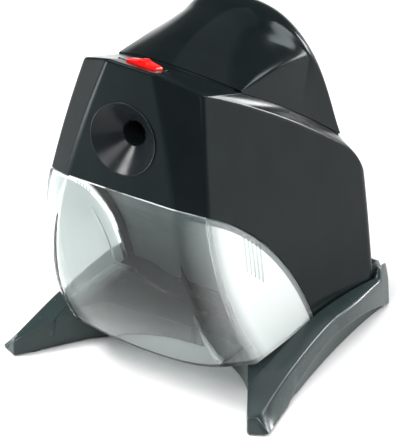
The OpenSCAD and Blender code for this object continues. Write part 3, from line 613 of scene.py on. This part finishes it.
def ridge(v):
    if v < 0.6:
        return bez(V(COVER_TIP, TOP - 10.6), V(-5, TOP - 3.5), V(14, TOP - 3), v / 0.6)
    end = V(COVER_REAR + COVER_BULGE, cover_foot(COVER_REAR)[2])
    return bez(V(14, TOP - 3), V(46, TOP - 2.5), end, (v - 0.6) / 0.4)


def cover_section(v, side_rows=7, top_rows=16):
    c, r, f = crease(v), ridge(v), cover_foot(lerp(COVER_FRONT, COVER_REAR, v))
    side = np.linalg.norm(f - c)

    power = 2 - (0.3 if v < 0.5 else 0.9) * math.sin(2 * math.pi * v)

    def top(t):
        w = 1 - t ** power
        return V(c[0] * t, lerp(c[1], r[0], w), lerp(c[2], r[1], w))
    e = min(2.6, side * 0.35) / 28.1
    down = unit(f - c)
    after = c + down * min(2.0, side * 0.35)
    half = [lerp(f, after, k / side_rows) for k in range(side_rows)]
    half += [bez(after, c, top(1 - e), k / 5) for k in range(6)]
    half += [top((1 - e) * (1 - k / top_rows)) for k in range(1, top_rows + 1)]
    return half + [p * V(-1, 1, 1) for p in half[-2::-1]]


def make_cover():
    spans = ((0.012, 0.57, 22), (0.585, 0.615, 3), (0.635, 0.996, 24))
    rows = [cover_section(v) for span in spans for v in np.linspace(*span)]
    verts = [p + V(0, 0, 0.3) for row in rows for p in row]
    ob = new_object("motor_hump", verts, grid_faces(len(rows), len(rows[0])), BLACK, "housing", "motor_cover",
                    degrees=34, weighted=False)
    solidify(ob, WALL * 0.9)
    finish_shell(ob, 34)


# ---------------------------------------------------------------- base
BASE_H, BASE_REAR, REAR_HALF, BAY_R, BAY_Y, PAD_GAP = 19.2, 60.9, 46.2, 47.0, -55.0, 0.8


def base_side(y):
    """Half-width of the base at the table."""
    return REAR_HALF + 15.5 * (max(0, 55 - y) / 103.6) ** 1.7


def crease_side(y):
    """Half-width of the base at its crease."""
    if y > 15:
        return REAR_HALF + 6.1 * math.sin(math.radians(90 * (BASE_REAR - y) / 45.9))
    return 52.3 + 4.6 * (15 - y) / 63


def flange_z(y):
    """Height of the base's crease."""
    return BASE_H - 12.2 * (max(0, 12 - y) / 60) ** 1.6 - 4.8 * (max(0, y - 12) / 43) ** 1.8


def arch_z(y):
    """Height of the arch under the base's side."""
    return max(0.5, 12 - 11.5 * (abs(y - 16) / 44) ** 2)


def belly_z(x):
    """Underside of the tray."""
    step = 67 - math.sqrt(67 ** 2 - 33.6 ** 2)
    return TRAY_LOW + (67 - math.sqrt(67 ** 2 - x * x) if abs(x) < 33.6 else step + 0.064 * (abs(x) - 33.6))


def rim_z(y):
    """Height of the base's rear rim, which rises behind the body and rounds off."""
    rise = 20.0 - 1.2 * max(0, (y - 57.6) / 3.3) ** 2
    t = min(1, max(0, (y - 51) / 4))
    return lerp(flange_z(min(y, 55)), rise, t * t * (3 - 2 * t))


def seat_z(x, y):
    """Top of the base inside the body's outline: the tray's trough, then the housing's seat."""
    return belly_z(abs(x)) - 0.5 if y < 14.5 else SEAT


# where the base's inner seat meets its outer skin; the tray's back wall to the parting arc
SEAM, TRAY_REST = 44.75, 8.2


def base_station(xi, yi, yo):
    """Closed section of the right half between an inner rail point and the outer rail at yo."""
    kx, bx = crease_side(yo), base_side(yo)
    kz = flange_z(min(yo, 55)) - 0.45 * max(0, yo - 55)
    wide = max(kx, bx)
    foot_z = max(PAD_GAP, min(arch_z(yo), kz - 3)) if yo > -44 else PAD_GAP
    K, A = V(kx - 0.5, yo, kz), V(wide - 0.2, yo, foot_z)
    seam_x = min(SEAM, kx - 2.0)
    seam_y = lerp(yo, yi, (K[0] - seam_x) / max(0.1, K[0] - xi)) if xi < seam_x else yi
    rise = 1.4 * min(1, max(0, (yo + 46) / 20))
    rim = rim_z(seam_y) if yo > 50 else 0
    S = V(max(seam_x, xi), seam_y, max(kz + rise, rim)) if xi < seam_x else V(xi, yi, kz + 0.6)
    rear = min(1, max(0, (yo - 30) / 22)) ** 2
    M = lerp((K + S) / 2 + V(0, 0, 0.35), V(K[0] - 1.2, K[1], S[2] - 0.4), 0.7 * rear)
    out = []
    if xi < seam_x:
        low_s = min(S[2] - 0.3, seat_z(S[0], S[1]))
        inside = V(S[0] - 0.02, S[1], low_s)
        for k in range(14):
            t = k / 14
            x, y = lerp(xi, inside[0], t), lerp(yi, inside[1], t)
            z = seat_z(x, y) if y < 53.6 else max(seat_z(x, y), rim_z(y))
            out.append(V(x, y, min(z, S[2] - 0.3) if y < 53.6 else z))
        out += [lerp(inside, S - V(0, 0, 0.35), k / 3) for k in range(4)]
    else:
        out += [lerp(V(xi, yi, PAD_GAP), S - V(0, 0, 1.6), k / 17) for k in range(18)]
    edge = S + unit(M - S) * 0.5
    out += [bez(out[-1], S, edge, k / 3) for k in (1, 2, 3)]
    over = K + unit(M - K) * min(1.6 + 3 * rear, 0.45 * np.linalg.norm(M - K))
    out += [bez(edge, M, over, k / 6) for k in range(1, 7)]
    down = A - K
    bend = K + down * min(0.5, (2.0 + 3 * rear) / np.linalg.norm(down))
    out += [bez(over, K, bend, k / 6) for k in range(1, 7)]
    out += [lerp(bend, A + V(0, 0, 0.8), k / 5) for k in range(1, 6)]
    out += [bez(A + V(0, 0, 0.8), A, A + V(-0.8, 0, 0), k / 4) for k in range(1, 5)]
    wall_x = min(wide - 1.4, max(bx, 44.9) - 1.2) if foot_z > PAD_GAP + 0.5 else wide - 1.4
    out += [lerp(A + V(-0.8, 0, 0), V(wall_x, yo, foot_z), k / 2) for k in (1, 2)]
    out += [V(wall_x - 0.05, yo, lerp(foot_z, PAD_GAP, k / 3)) for k in (1, 2, 3)]
    low, last = V(xi, yi, PAD_GAP), out[-1]
    out += [lerp(last, low, k / 6) for k in range(1, 7)]
    return out


def make_base():
    a0 = math.radians(59)
    ax, ay = BAY_R * math.sin(a0), BAY_Y + BAY_R * math.cos(a0)
    rails = [(lerp(53.6, ax, k / 14), lerp(-52.2, ay, k / 14), lerp(-48.6, -24.0, k / 14)) for k in range(14)]
    for k in range(20):
        a = a0 * (1 - k / 20)
        rails.append((BAY_R * math.sin(a), BAY_Y + BAY_R * math.cos(a), lerp(-24.0, -5.0, k / 20)))
    ys = [y for span in ((-5.0, 14.4, 12), (14.6, 52.0, 26), (52.8, 59.9, 12)) for y in np.linspace(*span)]
    ys += [60.35, 60.7, 60.85, 60.9]
    rails += [(0.0, lerp(-8.0, y, min(1, k / 6)), y) for k, y in enumerate(ys)]
    rows = [base_station(*r) for r in rails]
    # the foot's tip: the first section repeats outwards, drawn in round its middle
    first, way = rows[0], unit(V(0.406, -0.914, 0))
    centre = sum(first) / len(first)
    tips = []
    for shrink, ahead in ((0.62, 1.35), (0.80, 1.2), (0.91, 0.8), (0.975, 0.3)):
        tip = []
        for p in first:
            x, y = centre[:2] + (p[:2] - centre[:2]) * shrink
            tip.append(V(x, y, PAD_GAP + (p[2] - PAD_GAP) * lerp(1, shrink, 0.75)) + way * (ahead - 1.0))
        tips.append(tip)
    rows[0] = [p - way * 1.0 for p in first]
    last = rows[-1]
    mid = sum(last) / len(last)
    rows[-1] = [V(p[0], p[1], mid[2] + (p[2] - mid[2]) * 0.97) for p in last]
    rows = tips + rows
    cols = len(rows[0])
    faces = grid_faces(len(rows), cols, True)
    faces.append(tuple(range(cols)))
    tail = (len(rows) - 1) * cols
    faces.append(tuple(tail + j for j in range(cols - 1, -1, -1)))
    verts = [p for row in rows for p in row]
    n = len(verts)
    verts += [p * V(-1, 1, 1) for p in verts]
    faces += [tuple(n + i for i in reversed(f)) for f in faces]
    new_object("base_shell", verts, faces, BASE, "housing", "base", degrees=36)


# ---------------------------------------------------------------- shavings tray
def part_top(kind, s):
    """Height at which a front column of the tray meets the parting arc."""
    z = 80.0
    for _ in range(60):
        z = (z + part_z(wall_point(kind, s, z)[1] + TRAY_GAP) - TRAY_GAP) / 2
    return z


def tray_point(kind, s, z):
    if kind != "side":
        return wall_point(kind, s, z)
    return V(side_x(z), lerp(facet_y(z), part_y(min(z + TRAY_GAP, 108)) - TRAY_GAP, s), z)


UP_ROWS, RIB_YS, RIB_LENGTH, RIB_R = 30, (-31.7, -29.2, -26.8, -24.4, -22), 15, 0.75


def tray_column(kind, s):
    low = 14.0
    for _ in range(40):
        low = belly_z(min(44.0, tray_point(kind, s, low)[0]))
    top = part_top("facet", 1.0) if kind == "side" else part_top(kind, s)
    return np.array([tray_point(kind, s, lerp(low, top, k / UP_ROWS)) for k in range(UP_ROWS + 1)])


def rod(a, b, r, n=14):
    """Round-ended rod between two points."""
    a, b = Vector(a), Vector(b)
    m = Matrix.Translation(a) @ (b - a).to_track_quat("Z", "Y").to_matrix().to_4x4()
    length = (b - a).length
    prof = [(r * math.sin(t), -r * math.cos(t)) for t in np.linspace(0.15, math.pi / 2, 5)]
    prof += [(p, length - h) for p, h in prof[::-1]]
    turns = [2 * math.pi * i / n for i in range(n)]
    verts = [(p * math.cos(a), p * math.sin(a), h) for p, h in prof for a in turns]
    faces = grid_faces(len(prof), n, True) + [tuple(range(n - 1, -1, -1))]
    faces.append(tuple(len(verts) - n + i for i in range(n)))
    return place(verts, m), faces


def make_tray():
    """Clear drawer: outer skin thickened inwards, back wall, finger ribs and the switch tab."""
    r1, r2 = 0.05, 0.88
    cols = [tray_column("panel", s) for s in (0, 0.2, 0.4, 0.6, 0.8, 0.9, 1 - r1)]
    c1 = (cols[-1], tray_column("panel", 1), tray_column("facet", 0.12))
    cols += blended(*c1) + [c1[2]] + [tray_column("facet", s) for s in (0.2, 0.5, 0.78, r2)]
    c2 = (cols[-1], tray_column("facet", 1), tray_column("side", 0.025))
    cols += blended(*c2)
    front = len(cols)
    foot_z = tray_column("side", 0.5)[0][2]
    side_run = part_y(foot_z + TRAY_GAP) - TRAY_GAP - facet_y(foot_z)
    back_s = (part_y(foot_z) - TRAY_REST - facet_y(foot_z)) / side_run
    side_s = list(np.linspace(0.025, back_s, 20)) + list(np.linspace(back_s, 1, 8))[1:]
    cols += [tray_column("side", s) for s in side_s]
    feet = [c[0] for c in cols[:front + 1]]
    verts, faces = [], []

    def add(grid):
        base = len(verts)
        verts.extend(p for row in grid for p in row)
        faces.extend(grid_faces(len(grid), len(grid[0]), base=base))
    add(cols)
    under = [feet]
    for k in range(1, 20):
        end = cols[front + k][0]
        t = (end[1] - feet[-1][1]) / (part_y(foot_z) - TRAY_REST - feet[-1][1])
        row = []
        for p in feet[:-1]:
            x = p[0] * end[0] / feet[-1][0]
            y = lerp(p[1], part_y(belly_z(x)) - TRAY_REST, t)
            row.append(V(x, y, lerp(p[2], belly_z(x), min(1, 3 * t))))
        under.append(row + [end])
    add(under)
    n = len(verts)
    verts += [p * V(-1, 1, 1) for p in verts]
    faces += [tuple(n + i for i in reversed(f)) for f in faces]
    ob = new_object("tray_shell", verts, faces, TRAY, "tray", "shavings_tray", degrees=30, weighted=False)
    solidify(ob, TRAY_WALL)
    sheet, nx = [], 24
    for k in range(25):
        row = []
        for j in range(nx + 1):
            t = 2 * j / nx - 1
            z = lerp(belly_z(abs(t) * 43) + 0.9, 56, k / 24)
            row.append(V(t * (side_x(z) - 0.9), part_y(z) - TRAY_REST, z))
        sheet.append(row)
    wall = plain_object("back_wall", [p for r in sheet for p in r], grid_faces(25, nx + 1))
    solidify(wall, TRAY_WALL)
    tab = [(22, 1.3), (26, 1.3), (26, 10.7), (22, 10.7)]
    tools = [wall, plain_object("tab", *prism(tab, 15.6, 20.6, Matrix.Identity(4)))]
    for sx in (-1, 1):
        for y in RIB_YS:
            top = part_z(y) - 3
            low = top - RIB_LENGTH
            ends = [(sx * (side_x(z) - 0.35), y, z) for z in (low, top)]
            tools.append(plain_object("rib", *rod(*ends, RIB_R)))
    finish_shell(ob, 30, "UNION", tools)
    add_painted_light(ob.data)


def add_painted_light(me):
    """Painted light at each point of the tray: a milky whitening standing in for the light seen through the
    clear sides, none on the front, more to the rear of its sides and higher up.
    """
    at = me.attributes.new("painted_light", "FLOAT", "POINT")
    for i, v in enumerate(me.vertices):
        x, y, z = abs(v.co.x) / MM, v.co.y / MM, v.co.z / MM
        px, sx = panel_x(z), side_x(z)
        t = min(1, max(0, (x - px - 1.0) / max(1, sx - px - 2.0)))
        rear = min(1, max(0, (y - facet_y(z)) / 10))
        up = min(1, max(0, (z - 16) / 50))
        at.data[i].value = (0.12 + (0.38 + 0.30 * up) * rear) * t * t * (3 - 2 * t)


# ---------------------------------------------------------------- pencil guide, bezel and rocker
def make_guide():
    inner, outer = FUNNEL_R - 0.8, BORE_R + 1.8
    pts = [(BORE_R, 8.0), (FUNNEL_R - 0.5, -0.3), (FUNNEL_R - 0.25, -0.45), (FUNNEL_R, -0.3), (FUNNEL_R, 0.0),
           (inner, 0.0), (inner, 1.5), (outer, 9.6), (outer, 18.0), (BORE_R, 18.0)]
    rad = [0.5, 0.25, 0.12, 0.12, 0.0, 0.0, 0.3, 0.5, 0.3, 0.3]
    v, f = lathe(rounded_profile(pts, rad), 128)
    new_object("pencil_funnel", place(v, FEED), f, TRIM, "housing", "pencil_guide", degrees=38)


def ring_mesh(outer, inner, h0, h1, m, chamfer=0.25):
    """Frame between two outlines of equal count, with small chamfers on its upper edges."""
    def shrink(o, d):
        return [tuple(V(*p) * (1 - d / max(1.0, np.linalg.norm(V(*p))))) for p in o]
    n = len(outer)
    loops = [(outer, h0), (outer, h1 - chamfer), (shrink(outer, chamfer), h1), (shrink(inner, -chamfer), h1),
             (inner, h1 - chamfer), (inner, h0)]
    verts = place([(x, y, h) for loop, h in loops for x, y in loop], m)
    faces = []
    k = len(loops)
    for a in range(k):
        b = (a + 1) % k
        for i in range(n):
            faces.append((a * n + i, a * n + (i + 1) % n, b * n + (i + 1) % n, b * n + i))
    return verts, faces


def resample(outline, angles):
    """Outline's radius along each angle from the middle."""
    out = []
    pts = [V(*p) for p in outline]
    for a in angles:
        d = V(math.cos(a), math.sin(a))
        best = None
        for i in range(len(pts)):
            p, q = pts[i], pts[(i + 1) % len(pts)]
            e = q - p
            den = d[0] * e[1] - d[1] * e[0]
            if abs(den) < 1e-9:
                continue
            t = (p[0] * e[1] - p[1] * e[0]) / den
            s = (p[0] * d[1] - p[1] * d[0]) / den
            if t > 0 and -1e-6 <= s <= 1 + 1e-6:
                best = t if best is None else max(best, t)
        out.append(tuple(d * best))
    return out


def rounded_rect(hx, hy, r, n=6):
    out = []
    for sx, sy, a0 in ((1, 1, 0), (-1, 1, 90), (-1, -1, 180), (1, -1, 270)):
        for k in range(n + 1):
            a = math.radians(a0 + 90 * k / n)
            out.append((sx * (hx - r) + r * math.cos(a), sy * (hy - r) + r * math.sin(a)))
    return out


def make_bezel():
    outer = bezel_outline(0)
    hole = rounded_rect(7.3, 3.2, 0.5)
    corner = [math.atan2(y, x) for x, y in outer] + [math.atan2(y, x) for x, y in hole]
    angles = sorted(set(round(a, 5) for a in corner))
    v, f = ring_mesh(resample(outer, angles), resample(hole, angles), -4.0, 0.2, BAND)
    new_object("switch_frame", v, f, TRIM, "housing", "switch_bezel", degrees=25)


def make_rocker():
    """Rounded bar with a raised ridge across its middle."""
    hx, hy = 6.8, 2.8
    nx, ny = 44, 16
    verts, faces = [], []

    def top(x):
        a = abs(x)
        if a < 1.6:
            return 2.9 - 0.7 * (a / 1.6) ** 1.6
        return 2.2 - 0.8 * (a - 1.6) / (hx - 1.6)
    xs = [hx * math.sin(math.pi / 2 * lerp(-1, 1, i / nx)) for i in range(nx + 1)]
    ys = [hy * math.sin(math.pi / 2 * lerp(-1, 1, j / ny)) for j in range(ny + 1)]
    r = 0.9

    def fall(d):
        d = min(d, r)
        return r - math.sqrt(max(0, r * r - (r - d) ** 2))
    for x in xs:
        for y in ys:
            z = top(x) - fall(hx - abs(x)) - fall(hy - abs(y))
            verts.append((x, y, z))
    n = len(ys)
    for i in range(nx):
        for j in range(ny):
            a = i * n + j
            faces.append((a, a + n, a + n + 1, a + 1))
    ring = [i * n for i in range(nx + 1)] + [nx * n + j for j in range(1, n)]
    ring += [i * n + n - 1 for i in range(nx - 1, -1, -1)] + list(range(n - 2, 0, -1))
    base = len(verts)
    for idx in ring:
        x, y, _ = verts[idx]
        low = -3.4 + 1.8 * max(0, abs(x) - 1.6) / 5.2
        verts.append((x, y, low))
    m = len(ring)
    for k in range(m):
        faces.append((ring[k], ring[(k + 1) % m], base + (k + 1) % m, base + k))
    # underside as strips between opposite long edges
    left = list(range(0, nx + 1))
    right = [nx + (n - 1) + (nx - i) for i in range(nx + 1)]
    for i in range(nx):
        a, b = base + left[i], base + left[i + 1]
        c, d = base + right[i + 1], base + right[i]
        if i == nx - 1:
            faces.append((a, b) + tuple(base + nx + j for j in range(1, n - 1)) + (c, d))
        elif i == 0:
            faces.append((a, b, c, d) + tuple(base + m - 1 - j for j in range(0, n - 2)))
        else:
            faces.append((a, b, c, d))
    across = Matrix.Translation(Vector((0, 0, -2.4))) @ Matrix.Rotation(math.radians(90), 4, "X")
    pin, pin_faces = prism(circle(1.2, 24), -3.7, 3.7, across)
    faces += [tuple(len(verts) + i for i in f) for f in pin_faces]
    new_object("rocker_bar", place(verts + pin, BAND), faces, ROCKER, "rocker", "power_rocker", degrees=40)


for make in (make_housing, make_cover, make_base, make_tray, make_guide, make_bezel, make_rocker):
    make()

# ---------------------------------------------------------------- carried-over CAD nodes
FINISH = {
    BASE: "base_plate", PAD: "rubber_feet", TRIM: "tray_stop", CHUTE: "shavings_chute",
    STEEL: "base_screws housing_screws frame_screws motor_screws jack_nut",
    MATT: "switch_body dc_jack interlock_switch",
    BRASS: "switch_terminals motor_pinion",
    ZINC: "front_plate rear_plate motor_plate cutter_carrier",
    BRONZE: "front_bush rear_bush",
    SINTER: "ring_gear cutter_pinion",
    GROUND: "helical_cutter cutter_pin idler_shaft motor_shaft",
    NYLON: "carrier_gear idler_gear idler_pinion motor_end_cap",
    TURNED: "frame_pillars motor_spacers",
    CAN: "motor_can", WINDING: "armature", BOARD: "circuit_board", COMPONENT: "board_components",
    ROCKER: "interlock_plunger", WIRE: "wiring",
}
for material, node_names in FINISH.items():
    for node_name in node_names.split():
        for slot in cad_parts[node_name].material_slots:
            slot.material = material

# ---------------------------------------------------------------- floor, light and camera
floor_mat = Nodes("studio_floor", (0.93, 0.93, 0.93), 0.7)
shade = floor_mat.ramp(floor_mat.noise(3, 2), [(0.0, (0.925, 0.925, 0.925)), (1.0, (0.935, 0.935, 0.935))])
floor_mat.link(shade, floor_mat.p.inputs["Base Color"])
me = bpy.data.meshes.new("floor")
me.from_pydata([(-3, -3, 0), (3, -3, 0), (3, 3, 0), (-3, 3, 0)], [], [(0, 1, 2, 3)])
floor = bpy.data.objects.new("floor", me)
me.materials.append(floor_mat.mat)
bpy.context.scene.collection.objects.link(floor)

world = bpy.data.worlds.new("studio")
bpy.context.scene.world = world
world.use_nodes = True
world.node_tree.nodes["Background"].inputs["Color"].default_value = (0.93, 0.97, 1.0, 1)
world.node_tree.nodes["Background"].inputs["Strength"].default_value = 0.16


def area(name, at, size, power, aim=(0, 0, 0.07), size_y=None):
    light = bpy.data.lights.new(name, "AREA")
    light.shape = "RECTANGLE"
    light.size, light.size_y = size, size_y or size
    light.energy = power
    ob = bpy.data.objects.new(name, light)
    ob.location = at
    ob.rotation_euler = (Vector(aim) - Vector(at)).to_track_quat("-Z", "Y").to_euler()
    bpy.context.scene.collection.objects.link(ob)


area("overhead", (0.15, 0.30, 1.25), 1.2, 6.5)
area("top_left", (-0.62, -0.44, 1.02), 0.36, 15.0)
area("front_top", (0.25, -0.75, 0.90), 0.50, 7.0)
area("front_left", (-0.40, -0.33, 0.05), 0.28, 2.0, aim=(0, -0.05, 0.11), size_y=0.10)
area("rear", (0.45, 1.15, 0.11), 0.55, 9.0, size_y=0.14)
area("crease", (0.74, 0.80, 0.55), 0.34, 10.0)
area("right", (0.95, -0.45, 0.40), 0.4, 1.5)

AZ, EL = math.radians(33.4), math.radians(30.0)
back = Vector((math.sin(AZ) * math.cos(EL), -math.cos(AZ) * math.cos(EL), math.sin(EL)))
target = Vector((0, -0.0032, 0.0539))
cam = bpy.data.cameras.new("camera")
cam.lens, cam.sensor_width = 1050.0, 36.0
cam_ob = bpy.data.objects.new("camera", cam)
cam_ob.location = target + back * 5.0
cam_ob.rotation_euler = (-back).to_track_quat("-Z", "Y").to_euler()
bpy.context.scene.collection.objects.link(cam_ob)
bpy.context.scene.camera = cam_ob
bpy.context.scene.view_settings.view_transform = "Standard"
